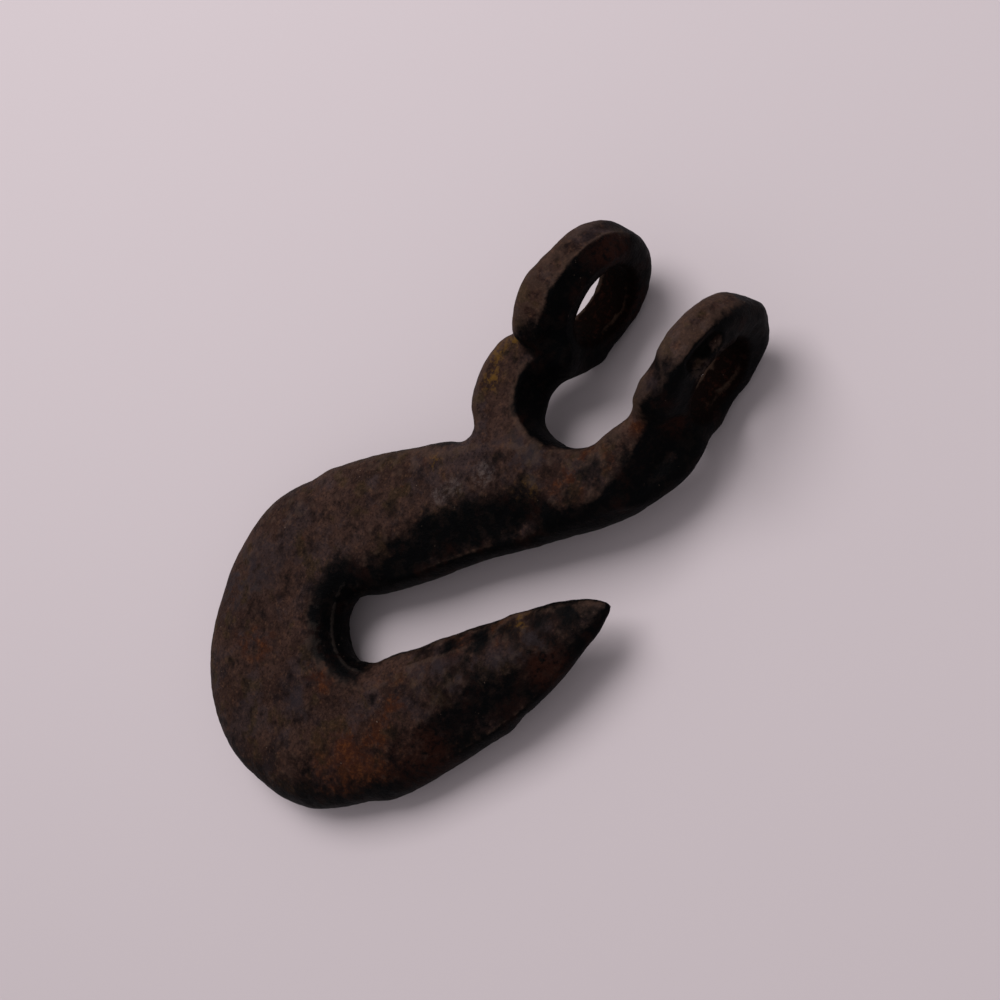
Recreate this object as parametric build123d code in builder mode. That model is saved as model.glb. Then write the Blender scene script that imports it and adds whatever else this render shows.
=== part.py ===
"""Barn hook: a one-piece forged iron hook with a forked shank and two upright eyes.

Units are millimetres. The hook is drawn in its own plane: the pin axis is the Y axis,
X runs from the bow towards the eyes, and Z is the thickness. The finished part is then
tipped about the pin axis until it rests on the bow and both eyes, as it lies on a table.

Every bar has the same kind of section: flat above and below, with a half ellipse at each
side, so a short half ellipse leaves a crisp edge and a long one a well rounded side.
"""
import os
from math import asin, cos, degrees, hypot, radians, sin

from build123d import *

# Eyes: two upright rings, a gap apart, with rounded edges at the rim and round the bore
pin_bore_r = 9.5
eye_outer_r = 17.5
eye_gap = 24.2
left_eye_width = 11.6
right_eye_width = 9.6
rim_edge_r = 3.8
bore_edge_r = 2.0

# Throat, in the shank's frame: s runs along the shank to the fork, n across it to the left
shank_angle = -42.0
throat_s = -87.5
throat_n = -49.6
throat_r = 8.3

# Beak, from its point: s, inner n, outer n, half thickness; the rounding is a share of the width
beak_sections = [
    (-21.4, -57.4, -58.9, 0.7),
    (-28.0, -55.0, -65.6, 3.2),
    (-37.0, -54.4, -71.9, 5.0),
    (-49.0, -54.9, -77.9, 6.3),
    (-65.0, -56.4, -83.8, 7.3),
]
beak_inner_share = 0.42
beak_outer_share = 0.5

# Bow: angle about the throat, reach from its centre, half thickness, inner and outer rounding
bow_sections = [
    (270.0, 40.2, 7.9, 7.0, 17.0),
    (245.0, 45.8, 8.3, 5.5, 17.0),
    (220.0, 51.4, 8.5, 5.0, 17.0),
    (195.0, 54.0, 8.5, 5.0, 17.0),
    (170.0, 51.6, 8.5, 5.5, 16.0),
    (145.0, 47.8, 8.4, 7.0, 14.0),
    (118.0, 45.2, 8.3, 9.0, 12.0),
    (90.0, 41.8, 8.1, 11.0, 11.0),
]

# Shank: s, inner n, outer n, half thickness, inner and outer rounding
shank_sections = [
    (-72.0, -40.9, -9.0, 7.7, 12.5, 9.0),
    (-56.0, -39.6, -10.6, 7.3, 12.0, 5.0),
]

# Arms. A point lies at a distance from the rim of its eye, and at a share of the way out to a face
# of that eye: the outer face for the arm's far side, the inner face for its crotch side.
arm_half_thickness = 7.0
left_arm_step = 0.4
left_arm_far_rounding = 2.6
crotch_rounding = 1.7
arm_end_cover = 1.5
arm_end = pin_bore_r + arm_end_cover - eye_outer_r

# Right arm, the shank carried on to its eye: far side, crotch side, rounding of the far side
right_arm_sections = [
    ((35.5, 0.26), (19.5, -1.04), 10.0),
    ((27.5, 0.59), (15.9, -0.06), 8.0),
    ((18.8, 0.89), (10.0, 0.55), 7.0),
    ((9.5, 1.10), (4.5, 0.81), 6.5),
    ((1.0, 1.17), (0.5, 0.94), 6.0),
    ((-3.5, 1.09), (-3.5, 1.04), 5.0),
    ((arm_end, 0.95), (arm_end, 1.09), 3.5),
]

# Left arm, the branch that closes the crotch: far side, crotch side
left_arm_sections = [
    ((18.5, -0.59), (9.7, -0.74)),
    ((25.5, -0.25), (12.5, -0.25)),
    ((29.5, 0.30), (14.3, 0.36)),
    ((26.0, 0.82), (13.9, 0.88)),
    ((18.3, 1.17), (10.5, 1.27)),
    ((7.7, 1.27), (4.5, 1.40)),
    ((-0.7, 1.17), (-2.0, 1.31)),
    ((arm_end, 0.95), (arm_end, 1.14)),
]

# Blend where the left arm leaves the shank
arm_blend_r = 4.0


def in_hook_plane(s, n):
    """Turn a point of the shank's frame into a point of the hook's plane."""
    a = radians(shank_angle)
    return Vector(s * cos(a) - n * sin(a), s * sin(a) + n * cos(a), 0)


def arm_point(side, eye_width, from_rim, share):
    """A point of an arm: side is 1 for the left eye, and a width of 0 gives the inner face."""
    return Vector(-eye_outer_r - from_rim, side * share * (eye_gap / 2 + eye_width), 0)


def section_plane(near, far):
    """The upright plane of a section that runs from one side of a bar to the other."""
    across = far - near
    return Plane((near + far) * 0.5, x_dir=across, z_dir=across.cross(Vector(0, 0, 1)))


def bar_outline(width, half_thickness, near_rounding, far_rounding):
    """The outline of a bar's section: two flats, and a half ellipse at each side."""
    near_centre = (near_rounding - width / 2, 0)
    far_centre = (width / 2 - far_rounding, 0)
    near_side = EllipticalCenterArc(near_centre, near_rounding, half_thickness, 90, arc_size=180)
    far_side = EllipticalCenterArc(far_centre, far_rounding, half_thickness, -90, arc_size=180)
    Line(near_side @ 1, far_side @ 0)
    Line(far_side @ 1, near_side @ 0)


def tilt_to_rest(near, far, half_thickness, far_rounding):
    """The tip about the pin axis that brings this section's far side as low as the eyes."""
    reach = -(far - (far - near).normalized() * far_rounding).X
    tilt = 0.0
    for _ in range(5):
        depth = hypot(half_thickness * cos(tilt), far_rounding * sin(tilt))
        tilt = asin((eye_outer_r - depth) / reach)
    return degrees(tilt)


# Stations of the main bar: two plan points, half thickness and the rounding at each side
main_bar = []
for s, inner_n, outer_n, half in beak_sections:
    inner = in_hook_plane(s, inner_n)
    outer = in_hook_plane(s, outer_n)
    width = inner_n - outer_n
    main_bar.append((inner, outer, half, beak_inner_share * width, beak_outer_share * width))
rest_tilts = []
for angle, reach, half, inner_rounding, outer_rounding in bow_sections:
    along = cos(radians(angle))
    across = sin(radians(angle))
    inner = in_hook_plane(throat_s + throat_r * along, throat_n + throat_r * across)
    outer = in_hook_plane(throat_s + reach * along, throat_n + reach * across)
    main_bar.append((inner, outer, half, inner_rounding, outer_rounding))
    rest_tilts.append(tilt_to_rest(inner, outer, half, outer_rounding))
for s, inner_n, outer_n, half, inner_rounding, outer_rounding in shank_sections:
    inner = in_hook_plane(s, inner_n)
    outer = in_hook_plane(s, outer_n)
    main_bar.append((inner, outer, half, inner_rounding, outer_rounding))
for far_place, crotch_place, far_rounding in right_arm_sections:
    far = arm_point(-1, right_eye_width, *far_place)
    crotch = arm_point(-1, 0, *crotch_place)
    main_bar.append((far, crotch, arm_half_thickness, far_rounding, crotch_rounding))

# Beak, bow, shank and right arm: one loft from the point of the beak to the right eye
with BuildPart() as bar:
    for near, far, half, near_rounding, far_rounding in main_bar:
        with BuildSketch(section_plane(near, far)):
            with BuildLine():
                bar_outline((far - near).length, half, near_rounding, far_rounding)
            make_face()
    loft()

# Left arm: a loft that starts inside the shank, rounds the crotch and ends in the left eye
with BuildPart() as left_arm:
    half = arm_half_thickness - left_arm_step
    for far_place, crotch_place in left_arm_sections:
        far = arm_point(1, left_eye_width, *far_place)
        crotch = arm_point(1, 0, *crotch_place)
        with BuildSketch(section_plane(crotch, far)):
            with BuildLine():
                bar_outline((far - crotch).length, half, crotch_rounding, left_arm_far_rounding)
            make_face()
    loft()

# Eyes: two rings turned about the pin axis, their roundings kept within the ring's own section
with BuildPart() as eyes:
    eye_wall = eye_outer_r - pin_bore_r
    for side, eye_width in ((1, left_eye_width), (-1, right_eye_width)):
        middle = Vector(pin_bore_r + eye_wall / 2, side * (eye_gap + eye_width) / 2)
        with BuildSketch(Plane.XY):
            with Locations(middle):
                Rectangle(eye_wall, eye_width)
            fillet(vertices().group_by(Axis.X)[0], min(bore_edge_r, eye_wall / 3, eye_width / 3))
            fillet(vertices().group_by(Axis.X)[-1], min(rim_edge_r, eye_wall / 2, eye_width * 0.45))
        revolve(axis=Axis.Y)

# The whole hook in its own plane, with the left arm blended into the shank
with BuildPart() as flat_hook:
    add(bar.part)
    add(left_arm.part)
    fillet(edges(Select.NEW), arm_blend_r)
    add(eyes.part)

# The hook at rest: tipped about the pin axis until the bow is as low as the eyes
with BuildPart() as hook:
    add(flat_hook.part, rotation=(0, -min(rest_tilts), 0))

os.makedirs("parts", exist_ok=True)
hook.part.label = "hook"
export_step(hook.part, "parts/hook.step")
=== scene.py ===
# %% [markdown]
# # A forged barn hook
#
# The object is one piece of forged iron: a tapered beak, a round bow, a thick shank, and a fork that
# ends in two upright eyes for a cross pin. It is old and has been used outdoors, so every face
# carries forge scale, pits and rust.
#
# The CAD model gives the sizes and the smooth form. This notebook adds what a smith's hammer and the
# weather did to it: first in the mesh, where the shape really changes, and then in the material.

# %% Load the model and measure it
import math

import bmesh
import bpy
import numpy as np
from mathutils import Matrix, Vector, noise


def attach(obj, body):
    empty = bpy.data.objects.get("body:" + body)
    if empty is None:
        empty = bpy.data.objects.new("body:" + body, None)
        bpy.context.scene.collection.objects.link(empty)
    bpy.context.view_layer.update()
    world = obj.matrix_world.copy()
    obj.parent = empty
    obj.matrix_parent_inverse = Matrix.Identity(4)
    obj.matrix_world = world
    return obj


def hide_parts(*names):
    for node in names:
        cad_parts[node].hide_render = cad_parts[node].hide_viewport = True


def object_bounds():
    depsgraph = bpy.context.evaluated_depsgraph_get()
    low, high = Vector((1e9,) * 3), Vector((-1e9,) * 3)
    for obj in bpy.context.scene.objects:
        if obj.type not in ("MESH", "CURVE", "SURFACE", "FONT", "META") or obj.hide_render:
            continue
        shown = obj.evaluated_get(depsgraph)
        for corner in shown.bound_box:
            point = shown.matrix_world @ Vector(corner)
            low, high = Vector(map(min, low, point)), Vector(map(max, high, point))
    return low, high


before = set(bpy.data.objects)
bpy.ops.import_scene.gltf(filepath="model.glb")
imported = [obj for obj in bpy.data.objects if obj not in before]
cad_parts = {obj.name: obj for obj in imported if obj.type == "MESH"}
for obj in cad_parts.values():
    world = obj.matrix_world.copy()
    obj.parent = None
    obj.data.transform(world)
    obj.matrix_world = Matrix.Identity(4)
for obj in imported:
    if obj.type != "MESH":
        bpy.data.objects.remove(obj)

cad_low, cad_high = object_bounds()
MM = 0.001
floor_z = cad_low.z
print("hook, mm:", [round(side / MM, 1) for side in cad_high - cad_low])

# %% [markdown]
# ## Camera
#
# The camera looks down at the hook from the side of the beak. A camera can be turned by angles or by
# a matrix. A matrix is used here, because it is built from three plain facts: where the camera is,
# what it looks at, and which way is up in its view.

# %% Camera
camera_place = Vector((-3.4, -135.6, 254.9)) * MM
camera_target = Vector((-53.8, 17.3, -17.5)) * MM
view_up = Vector((0.7837, 0.6211, 0.0))

forward = (camera_target - camera_place).normalized()
sideways = forward.cross(view_up).normalized()
upward = sideways.cross(forward)

camera_data = bpy.data.cameras.new("camera")
camera_data.sensor_width = 36.0
camera_data.lens = 45.58
camera_data.clip_start = 0.01
camera = bpy.data.objects.new("camera", camera_data)
camera.matrix_world = Matrix.Translation(camera_place) @ Matrix(
    (sideways, upward, -forward)
).transposed().to_4x4()
bpy.context.scene.collection.objects.link(camera)
bpy.context.scene.camera = camera
print("camera to hook, mm:", round((camera_target - camera_place).length / MM))

# %% [markdown]
# ## Floor and light
#
# The hook lies on a pale board under one wide soft light, like a window above the top of the view
# and a little to its left. A sun lamp would draw hard shadows, and a sky alone would draw none. A
# broad area light gives soft ones, and a pale world fills them.

# %% Helpers for materials
class Wire:
    """A node's output that can be used in plain sums."""

    def __init__(self, tree, socket):
        self.tree = tree
        self.socket = socket

    def _math(self, operation, first, second):
        node = self.tree.nodes.new("ShaderNodeMath")
        node.operation = operation
        for slot, value in enumerate((first, second)):
            if isinstance(value, Wire):
                self.tree.links.new(value.socket, node.inputs[slot])
            else:
                node.inputs[slot].default_value = value
        return Wire(self.tree, node.outputs[0])

    def __add__(self, other):
        return self._math("ADD", self, other)

    def __radd__(self, other):
        return self._math("ADD", other, self)

    def __sub__(self, other):
        return self._math("SUBTRACT", self, other)

    def __rsub__(self, other):
        return self._math("SUBTRACT", other, self)

    def __mul__(self, other):
        return self._math("MULTIPLY", self, other)

    def __rmul__(self, other):
        return self._math("MULTIPLY", other, self)


class Finish:
    """A new material, with one method that adds any node."""

    def __init__(self, name):
        self.material = bpy.data.materials.new(name)
        self.material.use_nodes = True
        self.tree = self.material.node_tree
        self.shader = self.tree.nodes["Principled BSDF"]

    def node(self, kind, settings=None, output=None, **sockets):
        """Adds a node: settings first, then the values or links of its sockets."""
        node = self.tree.nodes.new("ShaderNode" + kind)
        for key, value in (settings or {}).items():
            setattr(node, key, value)
        for key, value in sockets.items():
            self.feed(node, key, value)
        return Wire(self.tree, self.pick(node.outputs, output) if output else node.outputs[0])

    def pick(self, sockets, key):
        """The socket with this identifier or name, where _ may stand for a space."""
        for kind in ("identifier", "name"):
            for socket in sockets:
                if getattr(socket, kind).replace(" ", "_") == key:
                    return socket
        raise KeyError(key)

    def feed(self, node, key, value):
        """Sets or links one input of a node."""
        socket = self.pick(node.inputs, key)
        if isinstance(value, Wire):
            self.tree.links.new(value.socket, socket)
        else:
            socket.default_value = value

    def shade(self, **sockets):
        """Sets or links inputs of the main shader."""
        for key, value in sockets.items():
            self.feed(self.shader, key, value)


def tone(red, green, blue):
    """A colour given as a monitor shows it, from 0 to 255, in the linear values that nodes use."""
    return [((value / 255 + 0.055) / 1.055) ** 2.4 if value > 10 else value / 255 / 12.92
            for value in (red, green, blue)] + [1.0]


# %% Floor
floor_reach = 1.5
floor_data = bpy.data.meshes.new("floor")
floor_mesh = bmesh.new()
bmesh.ops.create_grid(floor_mesh, x_segments=1, y_segments=1, size=floor_reach)
bmesh.ops.translate(floor_mesh, vec=(0.0, 0.0, floor_z), verts=floor_mesh.verts)
floor_mesh.to_mesh(floor_data)
floor_mesh.free()
floor = bpy.data.objects.new("floor", floor_data)
bpy.context.scene.collection.objects.link(floor)

board = Finish("pale_board")
board.shade(Base_Color=(0.60, 0.53, 0.565, 1.0), Roughness=0.85)
floor_data.materials.append(board.material)
print("floor at z, mm:", round(floor_z / MM, 2))

# %% Window
window_size = 0.7
window_power = 9.0
window_colour = (1.0, 0.98, 0.97)
window_left = 0.22
window_back = 0.50
window_rise = 0.82

# Left in the view, and up in the view but level with the floor
view_left = -sideways
view_top = Vector((upward.x, upward.y, 0.0)).normalized()
hook_middle = (cad_low + cad_high) / 2
window_place = hook_middle + view_left * window_left + view_top * window_back
window_place = window_place + Vector((0.0, 0.0, window_rise))

window_data = bpy.data.lights.new("window", "AREA")
window_data.size = window_size
window_data.energy = window_power
window_data.color = window_colour
window = bpy.data.objects.new("window", window_data)
aim = (hook_middle - window_place).normalized()
window_turn = aim.to_track_quat("-Z", "Y").to_matrix().to_4x4()
window.matrix_world = Matrix.Translation(window_place) @ window_turn
bpy.context.scene.collection.objects.link(window)
print("window to hook, mm:", round((hook_middle - window_place).length / MM))

# %% Room
room_colour = (1.0, 0.97, 0.98, 1.0)
room_strength = 0.37
room = bpy.data.worlds.new("room")
room.use_nodes = True
background = room.node_tree.nodes["Background"]
background.inputs["Color"].default_value = room_colour
background.inputs["Strength"].default_value = room_strength
bpy.context.scene.world = room
bpy.context.scene.view_settings.view_transform = "Standard"
print("room light:", room_strength)

# %% [markdown]
# ## The hook's mesh
#
# The CAD mesh is smooth, with long thin triangles that can't carry any fine relief. It could be
# subdivided, but a voxel remesh gives even small faces all over, and rounds the inner corners a
# little, as a forging has them.

# %% Merged copy
weld_gap = 0.002 * MM
hook_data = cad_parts["hook"].data.copy()
merged = bmesh.new()
merged.from_mesh(hook_data)
bmesh.ops.remove_doubles(merged, verts=merged.verts, dist=weld_gap)
merged.to_mesh(hook_data)
merged.free()
print("merged points:", len(hook_data.vertices))

# %% Even mesh
def even_mesh(data, voxel, rounds):
    """A copy of a mesh with even faces of about one voxel, lightly smoothed."""
    raw = bpy.data.objects.new("forging_raw", data)
    bpy.context.scene.collection.objects.link(raw)
    remesh = raw.modifiers.new("remesh", "REMESH")
    remesh.mode = "VOXEL"
    remesh.voxel_size = voxel
    remesh.use_smooth_shade = True
    smooth = raw.modifiers.new("smooth", "SMOOTH")
    smooth.factor = 0.5
    smooth.iterations = rounds
    graph = bpy.context.evaluated_depsgraph_get()
    result = bpy.data.meshes.new_from_object(raw.evaluated_get(graph))
    bpy.data.objects.remove(raw)
    return result


forged_data = even_mesh(hook_data, voxel=0.6 * MM, rounds=3)
print("faces:", len(forged_data.polygons))

# %% [markdown]
# ## The smith's strokes
#
# A forging has no straight line. Its forms are shaped here as a smith shapes them, stroke by stroke:
# each stroke follows a path on the hook and fades out at its reach. Sculpt mode would do the same by
# hand, but strokes with places and sizes can be read, changed and repeated.

# %% Strokes
def unit(*vector):
    """A direction of length 1."""
    return np.array(vector) / np.linalg.norm(vector)


class Forging:
    """The points of the hook in millimetres, and the strokes that move them."""

    # Above 1, a stroke keeps its full strength for some way from its path
    press_gain = 1.6
    wear_gain = 2.0

    def __init__(self, mesh):
        self.mesh = mesh
        self.points = np.empty((len(mesh.vertices), 3))
        mesh.vertices.foreach_get("co", self.points.ravel())
        self.points /= MM
        self.pairs = np.empty((len(mesh.edges), 2), dtype=np.int32)
        mesh.edges.foreach_get("vertices", self.pairs.ravel())
        self.partners = np.bincount(self.pairs.ravel(), minlength=len(self.points))[:, None]
        self.settle()
        self.reported = self.points.copy()

    def settle(self):
        """Puts the points back into the mesh and measures the normals again."""
        self.mesh.vertices.foreach_set("co", (self.points * MM).ravel())
        self.mesh.update()
        self.normals = np.empty_like(self.points)
        self.mesh.vertex_normals.foreach_get("vector", self.normals.ravel())

    def report(self, name):
        """Prints how far the surface has moved since the last report."""
        moved = np.linalg.norm(self.points - self.reported, axis=1)
        print(name, "- moved by up to, mm:", round(float(moved.max()), 1))
        self.reported = self.points.copy()

    def average(self, values):
        """For each point the mean of its neighbours' values."""
        total = np.zeros_like(values)
        for first, second in ((0, 1), (1, 0)):
            for axis in range(3):
                total[:, axis] += np.bincount(
                    self.pairs[:, first], values[self.pairs[:, second], axis], len(total)
                )
        return total / self.partners

    def near(self, path, reach):
        """1 on the path, falling smoothly to 0 at the reach from it."""
        gap = np.full(len(self.points), np.inf)
        for start, stop in zip(path, path[1:]):
            start = np.array(start)
            run = np.array(stop) - start
            share = np.clip((self.points - start) @ run / (run @ run), 0.0, 1.0)
            gap = np.minimum(gap, np.linalg.norm(self.points - start - share[:, None] * run, axis=1))
        return (np.clip(1.0 - (gap / reach) ** 2, 0.0, 1.0) ** 2)[:, None]

    def draw(self, path, reach, height, direction=None):
        """Raises the surface along a path, or sinks it where the height is negative."""
        way = self.normals if direction is None else direction
        self.points += self.near(path, reach) * height * way
        self.settle()

    def flatten(self, path, reach, place, facing):
        """Presses what stands proud of a plane back to it."""
        proud = np.clip((self.points - np.array(place)) @ facing, 0.0, None)[:, None]
        self.points -= np.minimum(self.near(path, reach) * self.press_gain, 1.0) * proud * facing
        self.settle()

    def soften(self, path, reach, rounds):
        """Wears down crests and corners alike near a path."""
        share = np.minimum(self.near(path, reach) * self.wear_gain, 1.0)
        for _ in range(rounds):
            self.points += (self.average(self.points) - self.points) * share
        self.settle()

    def fill(self, path, reach, rounds):
        """Fills the inner corners near a path, and leaves the outer edges as they are."""
        share = np.minimum(self.near(path, reach) * self.wear_gain, 1.0)
        for _ in range(rounds):
            move = self.average(self.points) - self.points
            rise = np.sum(move * self.normals, axis=1)[:, None]
            self.points += move * share * (rise > 0.0)
        self.settle()


def ring(side_y, radius, start, stop, steps=6):
    """Points on a circle round the pin: 0 degrees is away from the bow, and 90 is on top."""
    turns = [math.radians(start + (stop - start) * step / steps) for step in range(steps + 1)]
    return [(radius * math.cos(turn), side_y, radius * math.sin(turn)) for turn in turns]


hook_forging = Forging(forged_data)
print("points:", len(hook_forging.points))

# %% [markdown]
# ### Left eye
#
# The eye stands on a root that is thicker than the arm, and the seams between them are filled. It has
# a wide bevel towards the gap of the fork, with a crisp edge along its crest. A bevel could be cut
# with bmesh, but the even mesh has no edge to cut along, so its points are moved by a rule instead.

# %% Bevel of an eye
def bevel_eye(forging, face_y, crest_y, crest_r, face_r, start, stop):
    """Turns the rounded edge of an eye into a bevel from its crest to its face."""
    fade_degrees = 18.0
    beyond_face = 1.2
    beyond_crest = 1.5
    x, y, z = forging.points.T
    radius = np.hypot(x, z)
    depth = np.clip((crest_y - y) / (crest_y - face_y), 0.0, beyond_face)
    limit = crest_r - (crest_r - face_r) * depth
    turn = np.degrees(np.arctan2(z, x))
    inside = np.clip(np.minimum(turn - start, stop - turn) / fade_degrees, 0.0, 1.0)
    ringed = (radius < crest_r + beyond_crest) & (np.abs(y - face_y) < abs(crest_y - face_y))
    cut = np.clip(radius - limit, 0.0, None) * inside * ringed
    forging.points[:, 0] -= cut * x / radius
    forging.points[:, 2] -= cut * z / radius
    forging.settle()


bevel_eye(hook_forging, face_y=12.1, crest_y=15.9, crest_r=17.5, face_r=13.0, start=15.0, stop=165.0)
hook_forging.report("left bevel")

# %% Left rim
# Fuller towards the bow, and lower on the far side
hook_forging.draw(ring(22.0, 17.5, 100.0, 145.0), reach=8.0, height=2.6, direction=unit(-0.7, 0.45, 0.3))
hook_forging.draw(ring(17.0, 17.3, 25.0, 60.0), reach=6.0, height=-0.7)
hook_forging.report("left rim")

# %% Left root
# Seams on the outer side and in the gap
hook_forging.fill([(-13.0, 20.0, 10.0), (-15.5, 25.0, 4.0)], reach=5.0, rounds=60)
hook_forging.fill([(-17.0, 15.5, 7.0), (-17.5, 14.5, -9.0)], reach=8.0, rounds=160)
# Thicker side of the root, towards the gap
hook_forging.draw([(-15.0, 13.0, 3.0), (-19.0, 14.5, -4.0), (-25.0, 14.5, -5.5)],
                  reach=8.0, height=3.0, direction=unit(-0.25, -0.95, 0.0))
hook_forging.fill([(-14.5, 12.0, -9.5), (-14.5, 18.0, -9.5)], reach=6.5, rounds=160)
# Its lower edge
hook_forging.draw([(-11.5, 12.5, -11.0), (-17.0, 12.0, -8.5), (-21.0, 12.0, -8.0)],
                  reach=5.5, height=2.4, direction=unit(-0.1, -0.85, -0.5))
hook_forging.soften([(-3.0, 12.5, -15.5), (-10.0, 12.0, -11.5), (-17.0, 11.0, -8.5), (-23.0, 12.0, -8.0)],
                    reach=5.5, rounds=25)
hook_forging.report("left root")

# %% Lip of the left bore
hook_forging.draw(ring(12.6, 10.0, 60.0, 150.0), reach=3.4, height=0.9, direction=unit(0.1, 0.0, -1.0))
hook_forging.report("left lip")

# %% [markdown]
# ### Right eye
#
# The right arm runs into its eye almost without a step. The root is full on both sides, and a flat
# lies between the arm and the eye. Raised metal alone would look like a wart, so raised strokes are
# followed by ones that fill or soften their foot.

# %% Right rim and root, towards the gap
# Fuller end of the rim
hook_forging.draw([(17.0, -19.0, -2.0), (13.5, -20.0, -11.0)],
                  reach=8.0, height=1.7, direction=unit(0.85, -0.25, -0.35))
# From the arm up to the rim
hook_forging.draw([(-21.0, -10.5, 2.0), (-16.5, -11.0, 6.0)],
                  reach=7.5, height=2.4, direction=unit(-0.15, 0.9, 0.4))
hook_forging.draw([(-16.5, -12.0, 6.5), (-12.0, -13.0, 10.5)],
                  reach=6.0, height=1.4, direction=unit(-0.4, 0.7, 0.6))
hook_forging.draw([(-12.3, -15.2, 12.0), (-16.5, -15.0, 7.5)],
                  reach=5.0, height=1.4, direction=unit(-0.75, -0.05, 0.66))
# The flat between the arm and the eye
hook_forging.flatten([(-28.0, -20.0, 3.0), (-17.0, -21.5, 3.0)],
                     reach=9.0, place=(-18.0, -15.8, 6.0), facing=unit(0.0, -0.82, 0.57))
hook_forging.fill([(-20.0, -10.0, 3.0), (-16.0, -12.0, 7.0), (-12.5, -13.0, 10.0)], reach=9.0, rounds=360)
hook_forging.fill([(-14.0, -20.0, -8.0), (-18.0, -12.5, -4.0)], reach=7.0, rounds=80)
hook_forging.report("right root, gap side")

# %% Right root, outer side
hook_forging.draw([(-12.4, -24.2, -6.0), (-20.0, -23.8, -6.5)], reach=6.0, height=1.2)
hook_forging.draw([(-8.0, -22.0, -12.0), (-13.0, -23.5, -6.5)],
                  reach=6.5, height=2.2, direction=unit(0.4, -0.8, -0.45))
hook_forging.fill([(-9.5, -21.0, -11.0), (-12.5, -23.0, -4.0)], reach=8.0, rounds=260)
hook_forging.soften([(-3.0, -21.5, -14.5), (-11.0, -23.5, -9.0), (-19.0, -24.0, -6.5), (-27.0, -22.0, -7.0)],
                    reach=7.0, rounds=45)
hook_forging.draw([(-8.5, -22.6, -9.2), (-13.5, -24.0, -7.0), (-18.5, -24.8, -6.5)],
                  reach=6.5, height=1.5, direction=unit(0.35, -0.85, -0.35))
hook_forging.soften([(-4.0, -21.5, -12.5), (-9.0, -23.0, -9.2), (-14.0, -24.3, -7.0)], reach=6.0, rounds=20)
hook_forging.report("right root, outer side")

# %% Lip and slot of the right eye
hook_forging.draw(ring(-20.8, 10.6, 40.0, 165.0), reach=3.2, height=1.5, direction=unit(0.0, -0.5, -0.8))
hook_forging.draw(ring(-20.9, 14.2, 62.0, 90.0), reach=2.7, height=2.8, direction=unit(-0.1, 0.8, -0.6))
hook_forging.report("right lip and slot")

# %% Worn edges of the right eye
hook_forging.fill([(-20.0, -14.0, 5.5), (-15.0, -15.0, 9.5)], reach=7.0, rounds=240)
hook_forging.soften([(-14.0, -13.5, 9.0), (-17.2, -14.0, 6.5), (-23.9, -16.4, 5.1), (-30.0, -16.0, 3.0)],
                    reach=7.0, rounds=35)
hook_forging.soften([(-18.0, -11.5, 5.0), (-7.0, -13.0, 14.5)], reach=5.0, rounds=45)
hook_forging.report("right eye, worn edges")

# %% [markdown]
# ### Shank and bow
#
# The shank has a long flat down its inner edge, as a hammer leaves it, and is a little crowned on
# top. A thin fin of metal runs round the throat. The fin is drawn along a path of its own, because
# the finish needs the same path later, to tint it.

# %% Shank
# Fuller outer side, and fuller low inner side
hook_forging.draw([(-72.0, 54.5, -2.6), (-59.7, 41.4, -1.6), (-50.0, 30.5, -0.8)], reach=9.0, height=1.2)
hook_forging.draw([(-25.2, -22.4, -6.9), (-36.8, -16.1, -7.8), (-61.4, 5.8, -9.7), (-87.0, 27.0, -11.8)],
                  reach=8.0, height=1.7)
# Crown, then the flat down the inner edge
hook_forging.draw([(-66.0, 18.0, 3.0), (-50.0, 16.0, 4.0), (-40.0, 6.0, 4.5)], reach=12.0, height=0.5)
hook_forging.flatten([(-76.0, 21.0, 1.0), (-64.0, 13.0, 1.0), (-52.0, 3.0, 2.0)],
                     reach=11.0, place=(-57.0, 15.0, 4.2), facing=unit(-0.3, -0.34, 0.89))
hook_forging.report("shank")

# %% Throat
# The low end of the wall is hollower near the shank, and fuller near the beak
hook_forging.draw([(-93.0, 30.5, -12.0), (-101.5, 30.5, -12.6), (-108.0, 24.5, -13.0)],
                  reach=9.0, height=-0.8)
hook_forging.draw([(-104.5, 16.5, -6.1), (-96.6, 10.5, -5.4)], reach=6.0, height=0.9)
# The crest beside the flat is worn
hook_forging.soften([(-76.0, 27.0, 2.8), (-63.0, 20.0, 3.6), (-55.0, 13.0, 4.0), (-45.0, 0.0, 4.0)],
                    reach=7.0, rounds=35)
throat_fin = [
    (-84.0, 28.5, 0.5), (-89.4, 32.0, -0.5), (-96.8, 32.5, -1.8), (-101.8, 30.5, -3.0),
    (-104.9, 28.2, -3.2), (-107.0, 24.9, -2.9), (-107.9, 19.1, -2.2), (-105.5, 12.7, -1.8),
]
hook_forging.draw(throat_fin, reach=1.3, height=0.32)
hook_forging.report("throat")

# %% [markdown]
# ### Fork
#
# The left arm leaves the shank in a round bay, and the right arm is the shank carried on. The crotch
# between them is fuller on the right. The strokes are wide here, since a narrow one would leave a
# corner in the outline of the gap.

# %% Fork
# Outer side of the left arm
hook_forging.draw([(-21.0, 30.6, 1.0), (-28.0, 31.3, 0.0), (-35.5, 29.1, -0.7)], reach=7.0, height=1.2)
# Gap side of the right arm
hook_forging.draw([(-28.5, -4.5, 1.5), (-26.0, -7.0, 2.5)],
                  reach=6.0, height=2.2, direction=unit(0.5, 0.85, 0.0))
hook_forging.draw([(-22.0, -10.0, 3.5), (-17.1, -11.3, 4.8), (-14.1, -12.3, 8.4), (-9.0, -13.8, 12.5)],
                  reach=6.0, height=1.3, direction=unit(-0.35, 0.85, 0.35))
hook_forging.soften([(-33.0, 4.0, 0.0), (-30.0, -3.0, 1.5), (-24.0, -8.5, 3.0), (-18.0, -11.0, 6.0)],
                    reach=7.0, rounds=45)
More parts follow.
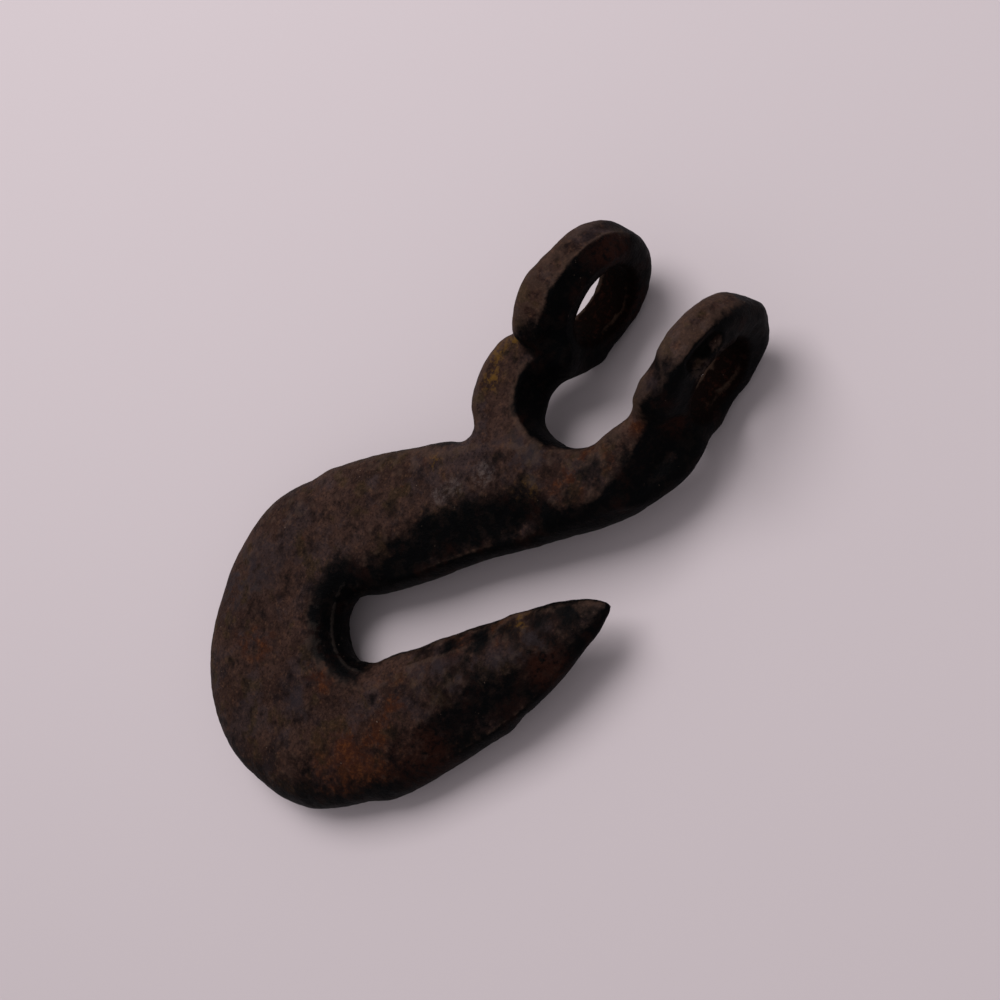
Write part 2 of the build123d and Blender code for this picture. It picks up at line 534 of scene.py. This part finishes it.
# Seam where the left arm leaves the shank
hook_forging.fill([(-46.0, 25.5, 2.0), (-46.0, 25.5, -7.0)], reach=6.5, rounds=220)
hook_forging.report("fork")

# %% [markdown]
# ### Beak
#
# The beak was drawn out to a point, which left a flat down its outer edge, a crest along its top and
# a low step beside its inner edge. The step is a shallow sunk stroke along one line.

# %% Beak
# The flat down the outer edge, and its worn crest
hook_forging.flatten([(-100.0, -16.0, -2.0), (-80.0, -24.0, -1.0), (-64.0, -28.0, -1.0)],
                     reach=15.0, place=(-81.2, -16.6, 1.2), facing=unit(-0.21, -0.43, 0.88))
hook_forging.soften([(-98.0, -9.0, 0.5), (-81.2, -16.6, 1.2), (-66.0, -23.0, 0.0)], reach=7.0, rounds=22)
# The step, and the fuller edge below it
hook_forging.draw([(-98.0, 6.4, -1.5), (-88.2, -1.0, -0.8), (-78.2, -8.0, 0.0), (-70.0, -13.0, 0.6)],
                  reach=1.3, height=-0.45)
hook_forging.draw([(-87.5, 2.6, -4.7), (-62.7, -16.8, -2.8)], reach=5.0, height=0.4)
hook_forging.draw([(-99.0, 12.5, -5.4), (-94.0, 8.3, -6.0), (-90.5, 5.2, -5.0)], reach=5.0, height=0.7)
hook_forging.soften([(-102.0, 14.5, -5.4), (-94.0, 8.0, -5.0), (-84.0, 0.0, -4.0), (-76.0, -6.5, -3.5)],
                    reach=6.0, rounds=40)
# Fuller outer side, low down
hook_forging.draw([(-126.4, -6.8, -13.0), (-111.7, -14.4, -12.4), (-93.7, -22.2, -11.0)],
                  reach=8.0, height=2.0)
hook_forging.report("beak")

# %% [markdown]
# ### Scale and pits
#
# Rust works at every size: slow waves from the hammer, lumps of scale a few millimetres wide, and
# pits below a millimetre. All but the finest change the outline, so they go into the mesh. The finest
# grain is left to the bump in the material.

# %% Weathered surface
def weather(forging, size, height, seed, pits_only=False):
    """Moves each point along its normal by a noise with features of about this size.

    With pits_only the high places stay, and only the strongest parts of the noise sink in.
    """
    pit_level = 0.25
    shift = Vector((seed * 7.3, seed * 3.1, seed * 5.7))
    rise = np.array([noise.noise(Vector(point) / size + shift) for point in forging.points])
    if pits_only:
        rise = -np.maximum(0.0, rise - pit_level)
    forging.points += forging.normals * rise[:, None] * height
    forging.settle()


weather(hook_forging, size=18.0, height=0.60, seed=1)
weather(hook_forging, size=7.0, height=0.22, seed=2)
weather(hook_forging, size=2.8, height=0.09, seed=3)
weather(hook_forging, size=3.6, height=0.32, seed=4, pits_only=True)
weather(hook_forging, size=1.4, height=0.06, seed=5)

# Nothing reaches below the floor
hook_forging.points[:, 2] = np.maximum(hook_forging.points[:, 2], floor_z / MM)
hook_forging.settle()
hook_forging.report("scale and pits")

# %% [markdown]
# ## Relief for the material
#
# Rust and dirt gather in hollows, and handling wears the crests. A renderer could work that out, but
# a baked texture can't, so it is measured here: a point that stands above its smoothed surroundings
# is a crest, and the result is kept in an attribute that the material reads.

# %% Crests and hollows
def measure_relief(forging, rounds, full):
    """For each point 0.5 on a plain surface, 1 on a crest of the full height and 0 in such a hollow."""
    smoothed = forging.points.copy()
    for _ in range(rounds):
        smoothed = forging.average(smoothed)
    height = np.sum((forging.points - smoothed) * forging.normals, axis=1)
    return np.clip(0.5 + 0.5 * height / full, 0.0, 1.0)


fin_reach = 1.2
fin_crest = 0.5 + 0.5 * hook_forging.near(throat_fin, fin_reach)[:, 0]
relief_values = np.maximum(measure_relief(hook_forging, rounds=6, full=0.09), fin_crest)
relief = forged_data.attributes.new("relief", "FLOAT", "POINT")
relief.data.foreach_set("value", relief_values)
print("mean relief:", round(float(relief_values.mean()), 3))

# %% [markdown]
# ## Rusty forged iron
#
# Old forged iron has no single colour. The faces that turn towards the light have a thin brown rust,
# with blue-grey patches where the scale is tight, and orange and ochre rust in a few places. The sides
# that turn away from the light are painted near black: that is painted shade. The layers are painted
# over one another, each through its own mask: noise for the ragged borders, and places for the
# patches. An image texture could do the same, but it would need UVs, and this way the finish needs only
# the hook's own shape.

# %% Noise
iron = Finish("rusty_forged_iron")
spot = iron.node("TexCoord", output="Object")


def grain(size, detail, roughness, shift=0.0):
    """Noise from 0 to 1 with features of a size in millimetres; a shift gives another pattern."""
    moved = iron.node("VectorMath", {"operation": "ADD"},
                      Vector=spot, Vector_001=(shift, shift * 0.7, -shift))
    return iron.node("TexNoise", Vector=moved, Scale=1.0 / (size * MM), Detail=detail, Roughness=roughness)


coarse = grain(14.0, 5.0, 0.6)
middle = grain(5.0, 6.0, 0.65, 0.31)
fine = grain(1.4, 6.0, 0.7, 0.57)
powder = grain(0.6, 3.0, 0.6, 0.67)
worn = iron.node("Attribute", {"attribute_name": "relief"}, output="Fac")
print("nodes so far:", len(iron.tree.nodes))

# %% Masks
def ramp(value, low, high):
    """0 below the low value, 1 above the high one, and a soft step between them."""
    return iron.node("MapRange", {"interpolation_type": "SMOOTHSTEP"},
                     Value=value, From_Min=low, From_Max=high)


def patch(x, y, z, reach):
    """1 at a place on the hook, in millimetres, and 0 at the reach from it."""
    gap = iron.node("VectorMath", {"operation": "DISTANCE"}, output="Value",
                    Vector=spot, Vector_001=(x * MM, y * MM, z * MM))
    return 1 - ramp(gap, 0.0, reach * MM)


def patches(places, through=1.0, start=0.0):
    """The sum of patches at several places, seen through a mask, on top of a first value."""
    total = start
    for place in places:
        total = total + patch(*place) * through
    return total


def paint(under, over, mask, strength=1.0):
    """One colour over another through a mask, at a strength from 0 to 1."""
    return iron.node("Mix", {"data_type": "RGBA"}, output="Result_Color",
                     Factor_Float=mask * strength, A_Color=under, B_Color=over)


# %% [markdown]
# ### The lit side and the side painted in shade
#
# Brown or near black is decided by how far a face turns towards the light: this is painted light and
# painted shade. The dot product of the face's normal and a direction towards the light gives that as
# a number, and patches raise it where a face is painted lighter and lower it where a face is painted in
# shade. Noise is added before the ramp, not after it, so that the border itself is ragged.

# %% Places painted lit and places painted in shade
# Painted light: places where faces are painted as more lit, each as x, y, z and reach in millimetres
lit_places = [
    (6.0, -19.0, 15.0, 13.0), (14.0, -18.0, 9.0, 7.0), (-8.0, 21.0, 16.0, 9.0),
    (-14.0, 23.0, 10.0, 7.0), (-16.0, -14.5, 8.0, 6.5),
]
# Painted shade: places round the throat, along the beak's inner edge and on the shank's flat, pushed towards
# near black
throat_rim = [
    (-98.0, 34.0, 0.0, 9.0), (-106.0, 27.0, -1.0, 9.0), (-107.5, 17.0, -1.0, 8.0),
    (-89.0, 31.0, 1.0, 9.0), (-24.0, -22.5, -1.0, 8.0),
]
beak_inner_edge = [
    (-91.0, 3.5, -2.0, 4.5), (-85.0, -2.5, -1.0, 5.0), (-79.5, -8.0, -0.7, 5.0),
    (-73.0, -13.0, -0.5, 4.0), (-66.0, -17.5, -1.0, 5.5), (-61.0, -21.5, -1.5, 5.0),
]
shank_flat = [
    (-77.0, 19.0, 1.7, 9.0), (-67.5, 16.0, 2.5, 10.0), (-59.0, 10.0, 3.3, 10.0),
    (-52.5, 3.0, 3.3, 9.0), (-47.0, -4.0, 3.0, 8.0),
]
# Painted light, at part strength
half_lit = patch(14.0, 17.0, 9.0, 12.0) * 0.7 + patch(-126.0, 1.0, -3.0, 18.0) * 0.4
lit_patches = patches(lit_places, start=half_lit)
# Painted shade patches
shade_patches = patches(throat_rim + beak_inner_edge + shank_flat)
# Broad painted shade on the beak, the right arm and the right eye
broad_shade = patches([(-86.0, -8.0, 0.0, 20.0), (-66.0, -22.0, -1.0, 20.0), (-30.0, -10.0, 4.7, 11.0)])
broad_shade = broad_shade + patch(-6.0, -16.0, 16.0, 11.0) * 1.2 + patch(8.0, -16.0, 15.5, 10.0)
print("shaded places:", len(throat_rim + beak_inner_edge + shank_flat))

# %% Painted light and shade
facing = iron.node("NewGeometry", output="Normal")
# A direction towards the light: faces turned to it are painted lit brown, the others near black as painted
# shade
toward_light = iron.node("VectorMath", {"operation": "DOT_PRODUCT"}, output="Value",
                       Vector=facing, Vector_001=(0.04, 0.46, 0.89))
toward_floor = iron.node("VectorMath", {"operation": "DOT_PRODUCT"}, output="Value",
                         Vector=facing, Vector_001=(0.0, 0.0, -1.0))
ragged = (middle - 0.5) * 1.0 + (coarse - 0.5) * 0.5 + (fine - 0.5) * 0.5
# Painted light and shade: how far a face turns to the light, raised and lowered by painted patches
lit_amount = lit_patches * 0.45 - shade_patches * 0.30 - broad_shade * 0.16 + toward_light + ragged
# The underside is flat like the top, and rusts as the top does
lit_amount = lit_amount + ramp(toward_floor, 0.56, 0.96) * 1.5
# 1 on the painted lit side, 0 on the side painted in shade; brightness says how fully a face is lit
lit_side = ramp(lit_amount, 0.48, 0.86)
brightness = ramp(lit_amount, 0.62, 1.06)
print("nodes so far:", len(iron.tree.nodes))

# %% [markdown]
# ### Colours
#
# Each colour is given as a monitor shows it, from 0 to 255, since that is how a maker judges it. The
# brown is not one tone either: purple, olive and tan run through it, and soot lies in its grain.

# %% Brown scale
brown = paint(tone(64, 45, 39), tone(43, 28, 24), ramp(coarse, 0.40, 0.62))
purple_film = ramp(grain(10.0, 4.0, 0.6, 0.37), 0.48, 0.60)
brown = paint(brown, tone(54, 43, 44), purple_film, 0.75)
olive_film = ramp(grain(7.0, 4.0, 0.6, 0.41), 0.53, 0.64)
brown = paint(brown, tone(50, 38, 22), olive_film, 0.65)
tan_grain = ramp(fine, 0.52, 0.70)
brown = paint(brown, tone(82, 57, 43), tan_grain, 0.55)
soot_cloud = ramp(grain(6.5, 5.0, 0.65, 0.53), 0.54, 0.66)
brown = paint(brown, tone(26, 20, 23), soot_cloud, 0.65)
brown = paint(brown, tone(14, 8, 7), ramp(middle, 0.53, 0.66), 0.5)
brown = paint(brown, tone(12, 8, 7), ramp(powder, 0.54, 0.66), 0.55)
brown = paint(brown, tone(78, 58, 47), 1 - ramp(powder, 0.34, 0.44), 0.4)
print("nodes with the brown:", len(iron.tree.nodes))

# %% [markdown]
# ### Slate film and a painted highlight on the crest
#
# Tight scale shows a blue-grey film on the beak, on the bow and beside the fork, and a few millimetres
# of the shank's crest are painted paler as a painted highlight. Noise alone would scatter these over
# the whole hook, so patches say where they are, and noise only breaks up their borders.

# %% Slate film
slate_places = [
    (-85.6, -10.9, 1.0, 6.0), (-79.4, -15.9, 0.8, 6.0), (-72.0, -20.5, 0.0, 7.0),
    (-38.6, 6.0, 4.0, 16.0), (-91.2, -4.2, 0.0, 16.0), (-71.4, -19.3, 0.5, 10.0),
    (-123.4, 23.9, -1.5, 10.0), (-108.0, 57.0, -2.0, 20.0), (-8.0, -18.0, 13.0, 9.0),
]
slate_specks = ramp(grain(9.0, 5.0, 0.6, 0.83), 0.62, 0.75) * 0.6
slate = ramp(patches(slate_places, through=ramp(middle, 0.40, 0.60), start=slate_specks), 0.0, 1.2)
colour = paint(brown, tone(40, 34, 38), slate, 0.8)
print("slate places:", len(slate_places))

# %% Painted highlight on the shank's crest
# Painted highlight: a paler streak along the shank's crest
crest_sheen = patches([(-58.5, 20.0, 3.8, 4.5), (-54.0, 17.5, 4.0, 5.0), (-47.5, 12.5, 4.3, 6.0)])
colour = paint(colour, tone(84, 74, 72), ramp(crest_sheen * ramp(fine, 0.35, 0.62), 0.1, 1.0), 0.65)
print("nodes with the crest:", len(iron.tree.nodes))

# %% [markdown]
# ### Orange and ochre rust
#
# Orange rust comes up in broad soft patches where water stood, and ochre in small spots. Both are
# painted after the film, because rust grows through scale and lies on top of it. A few specks of
# noise start the sum, so that the places in between aren't quite clean.

# %% Orange rust
rust_places = [
    (-53.1, 27.2, 3.8, 3.5), (-30.3, -8.9, 4.7, 8.0), (-17.3, -14.6, 5.7, 5.0),
    (-113.2, 21.6, -0.7, 9.0), (-103.4, 3.0, 0.0, 9.0), (-118.5, 44.5, -1.1, 12.0),
    (-130.9, 4.0, -4.1, 16.0), (-118.0, -4.0, -4.0, 18.0), (-83.8, -3.2, -1.5, 9.0),
    (-75.2, -10.8, -1.8, 8.0), (-37.3, -6.6, 4.1, 9.0),
]
rust_specks = ramp(grain(6.0, 6.0, 0.7, 0.47), 0.60, 0.72) * 0.55
rust = patches(rust_places, through=ramp(middle, 0.42, 0.60), start=rust_specks)
rust = ramp(rust + patch(-127.0, 0.0, -3.0, 20.0) * 0.8, 0.0, 1.1)
rust_tone = paint(tone(52, 24, 12), tone(82, 44, 20), ramp(fine, 0.45, 0.70))
colour = paint(colour, rust_tone, rust, 0.8)
print("rust places:", len(rust_places) + 1)

# %% Ochre rust
ochre_places = [
    (-52.4, 25.8, 4.0, 3.5), (-45.7, 0.5, 4.5, 7.0), (-17.2, 24.7, 5.3, 5.0),
    (-23.0, 26.9, 4.8, 5.0), (-28.5, 24.6, 4.4, 5.0), (-70.0, -13.5, -1.0, 5.0),
]
ochre_specks = ramp(grain(2.6, 5.0, 0.7, 0.19), 0.68, 0.76) * 0.35
ochre = patches(ochre_places, through=ramp(fine, 0.44, 0.60), start=ochre_specks)
colour = paint(colour, tone(92, 66, 24), ramp(ochre, 0.0, 1.1), 0.8)
print("ochre places:", len(ochre_places))

# %% [markdown]
# ### Near black painted shade
#
# The sides that turn away from the light are painted near black, as painted shade, warmed by a little
# red rust where damp crept in. It is painted as a colour of its own, and the lit brown goes over it.

# %% Near black painted shade, with red rust
red_places = [
    (10.9, 13.6, 9.7, 10.0), (-74.0, -25.0, -1.3, 10.0), (-110.0, -10.0, -4.0, 14.0),
    (-13.0, -21.0, 3.0, 6.0), (3.3, 15.2, -9.0, 12.0),
]
red = patches(red_places)
# Near black for the sides painted in shade, mottled with dark red
black = paint(tone(2, 2, 3), tone(24, 10, 7), ramp(grain(7.0, 5.0, 0.65, 0.71), 0.52, 0.68), 0.75)
black = paint(black, tone(14, 9, 8), ramp(grain(2.6, 5.0, 0.65, 0.77), 0.50, 0.62), 0.7)
black = paint(black, tone(36, 15, 9), ramp(red * ramp(fine, 0.30, 0.60), 0.0, 0.9), 0.8)
black = paint(black, tone(30, 20, 15), ramp(fine, 0.62, 0.74), 0.4)
print("red places in the black:", len(red_places))

# %% Brown over black
# Painted shade: where a face turns only partly towards the light, the brown is darker
shaded_brown = paint(colour, tone(17, 9, 8), 0.72)
colour = paint(shaded_brown, colour, brightness)
colour = paint(black, colour, lit_side)
print("nodes so far:", len(iron.tree.nodes))

# %% [markdown]
# ### Bores, hollows and edges
#
# The insides of the bores are painted dark red-brown, as painted shade. Their mask is the distance from
# the pin's axis, which is the Y axis of the hook. Hollows and crests come from the relief that was
# measured on the mesh.

# %% Bores and hollows
bore_face = 9.9 * MM
bore_mouth = 11.4 * MM
off_axis = iron.node("VectorMath", {"operation": "MULTIPLY"}, Vector=spot, Vector_001=(1.0, 0.0, 1.0))
from_pin = iron.node("VectorMath", {"operation": "LENGTH"}, output="Value", Vector=off_axis)
in_bore = 1 - ramp(from_pin + (fine - 0.5) * 2.0 * MM, bore_face, bore_mouth)
# Painted shade inside the bores, in a dark red-brown
bore_shade = paint(tone(9, 3, 2), tone(26, 10, 6), ramp(fine, 0.5, 0.66))
colour = paint(colour, bore_shade, in_bore)
colour = paint(colour, tone(8, 6, 6), 1 - ramp(worn, 0.16, 0.46), 0.6)
print("bore mask, mm:", round(bore_face / MM, 1), "to", round(bore_mouth / MM, 1))

# %% Worn edges and painted highlights
# Crests on the lit side are painted paler: partly worn edges, partly a painted highlight
wear_and_highlight = ramp(worn, 0.70, 0.98) * lit_side * (1 - patch(-100.0, 20.0, 0.0, 22.0))
colour = paint(colour, tone(84, 66, 56), wear_and_highlight, 0.22)
# Painted shade: the slot of the right eye is painted near black
slot_shade = ramp(patch(3.3, -20.2, 12.8, 4.0) + (middle - 0.5) * 0.4, 0.25, 0.5)
colour = paint(colour, tone(3, 2, 2), slot_shade)
fin = ramp(worn + (fine - 0.5) * 0.9, 0.74, 1.0) * patch(-100.0, 24.0, -3.0, 18.0)
colour = paint(colour, tone(62, 54, 50), fin, 0.45)
lip = patches([(-0.5, -21.8, 11.4, 4.5), (5.5, -22.1, 9.0, 4.0)])
colour = paint(colour, tone(60, 48, 43), ramp(lip * ramp(fine, 0.40, 0.60), 0.1, 0.8), 0.45)
# Painted glints: tiny pale specks
glints = ramp(grain(0.9, 2.0, 0.5, 0.93), 0.74, 0.80) * ramp(coarse, 0.45, 0.60)
colour = paint(colour, tone(150, 128, 112), glints, 0.6)
print("nodes in the colour:", len(iron.tree.nodes))

# %% [markdown]
# ### Sheen and grain
#
# Rust is dull, and tight scale has a soft sheen, so the roughness follows the same masks as the
# colour. The grain below a millimetre is a bump, because faces fine enough to carry it would number
# in the millions. The specular level is low: a higher one lets the pale room turn dark iron grey.

# %% Sheen and grain
dark_iron_specular = 0.035
grain_height = 0.6 * MM
roughness = 0.66 + (fine - 0.5) * 0.35 - slate * 0.14 - (1 - lit_side) * 0.10 + in_bore * 0.35
height = powder * 0.35 + fine * 0.45 + middle * 0.6
bump = iron.node("Bump", Strength=0.8, Distance=grain_height, Height=height)
iron.shade(Base_Color=colour, Roughness=roughness, Normal=bump, Specular_IOR_Level=dark_iron_specular)
print("nodes in the finish:", len(iron.tree.nodes))

# %% [markdown]
# ## Into the frame
#
# The forged piece takes the place of the CAD node, which stays in the frame with its mesh unchanged.
# It rides on the only body, because the hook has no joints.

# %% Put the hook in place
hook = bpy.data.objects.new("forged_hook", forged_data)
bpy.context.scene.collection.objects.link(hook)
forged_data.materials.clear()
forged_data.materials.append(iron.material)
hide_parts("hook")
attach(hook, "root")
print("faces:", len(forged_data.polygons))
